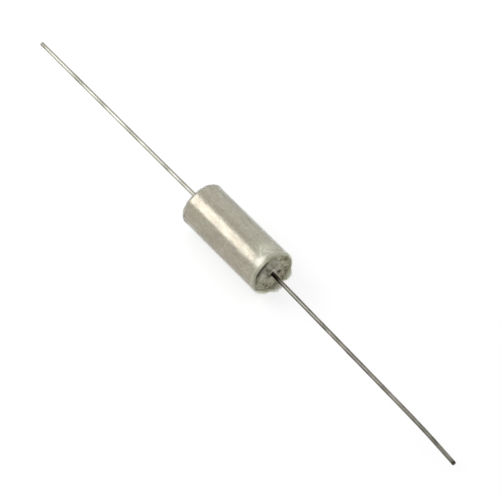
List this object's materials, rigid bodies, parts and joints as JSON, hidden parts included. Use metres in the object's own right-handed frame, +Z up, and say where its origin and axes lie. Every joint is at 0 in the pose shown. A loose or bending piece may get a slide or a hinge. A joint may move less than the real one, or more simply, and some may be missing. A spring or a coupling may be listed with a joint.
{
  "type": "axial tantalum capacitor",
  "caption": "Small drawn metal can in a clear shrunk film sleeve, closed with a pitted glass and solder seal, with a long thin wire lead out of the middle of each end.",
  "frame": {"origin": "middle of the can's length, on its axis", "axes": "+X along the axis towards the positive lead and the sealed end, +Z up as it lies on its side"},
  "size_m": [0.0994, 0.0074, 0.0074],
  "materials": {
    "film": "clear polyester film, shrunk on, slightly wrinkled",
    "tinned_can": "tinned drawn metal, satin with drawing streaks and stains",
    "seal_metal": "plated steel, dull",
    "dull_solder": "tin-lead solder, dull, mottled and pitted",
    "bright_solder": "tin-lead solder, smooth, faintly warm",
    "seal_glass": "fused glass, cloudy grey-brown with bubbles",
    "tinned_wire": "tinned nickel wire, satin",
    "stained_wire": "tinned nickel wire, dulled, with brown-black flux burnt on near the seal",
    "weld_metal": "melted nickel and tantalum",
    "tantalum_wire": "drawn tantalum, blue-grey",
    "sintered_tantalum": "porous sintered powder, matte",
    "manganese_dioxide": "black, matte, slightly rough",
    "graphite": "dark grey, matte",
    "silver_paint": "silver paint, satin",
    "white_plastic": "white fluoroplastic"
  },
  "bodies": {
    "root": {"insulating_sleeve": "film", "case": "tinned_can", "seal_ring": "seal_metal", "rim_solder": "dull_solder", "glass_bead": "seal_glass", "tubelet": "seal_metal", "tubelet_solder": "bright_solder", "positive_lead": "stained_wire", "negative_lead": "tinned_wire", "negative_lead_solder": "bright_solder", "lead_weld": "weld_metal", "anode_wire": "tantalum_wire", "spacer_washer": "white_plastic", "anode_pellet": "sintered_tantalum", "manganese_dioxide_coat": "manganese_dioxide", "graphite_coat": "graphite", "silver_coat": "silver_paint", "cathode_solder": "dull_solder"}
  },
  "joints": []
}
